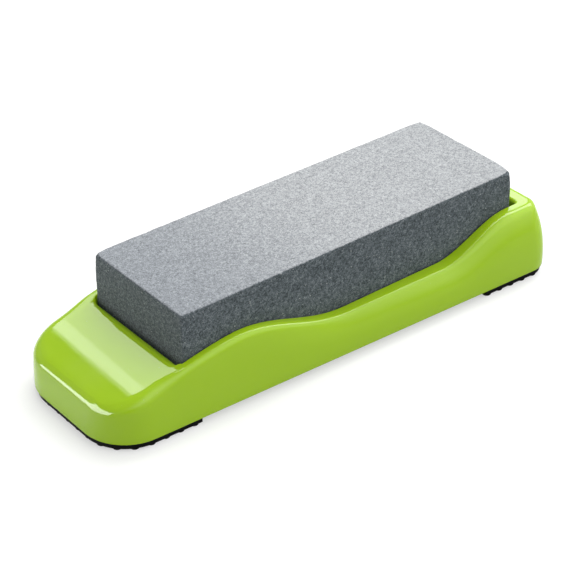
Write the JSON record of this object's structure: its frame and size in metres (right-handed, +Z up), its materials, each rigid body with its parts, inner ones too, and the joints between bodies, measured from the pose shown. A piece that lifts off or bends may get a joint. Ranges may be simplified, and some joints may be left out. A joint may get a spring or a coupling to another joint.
{
  "type": "sharpening whetstone",
  "caption": "Rectangular abrasive stone lying in a moulded holder with a sloping nose, a raised heel and wavy side walls, on studded rubber feet; it sharpens carving knives and gouges by hand.",
  "frame": {"origin": "centre of the footprint, on the bench that the studs of the feet stand on", "axes": "+X along the length from the low nose to the raised heel, +Y across the width, +Z up out of the stone's working face"},
  "size_m": [0.1978, 0.0738, 0.0429],
  "materials": {
    "grey_abrasive": "matt, fine even grain, no shine",
    "green_plastic": "high gloss, injection moulded, lime green",
    "black_rubber": "matt moulded rubber"
  },
  "bodies": {
    "holder": {"holder": "green_plastic", "nose_foot": "black_rubber", "heel_foot": "black_rubber"},
    "stone": {"whetstone": "grey_abrasive"}
  },
  "joints": [
    {"name": "stone_lift", "type": "slide", "parent": "holder", "child": "stone", "axis": [0, 0, 1], "range_m": [0, 0.045]}
  ]
}
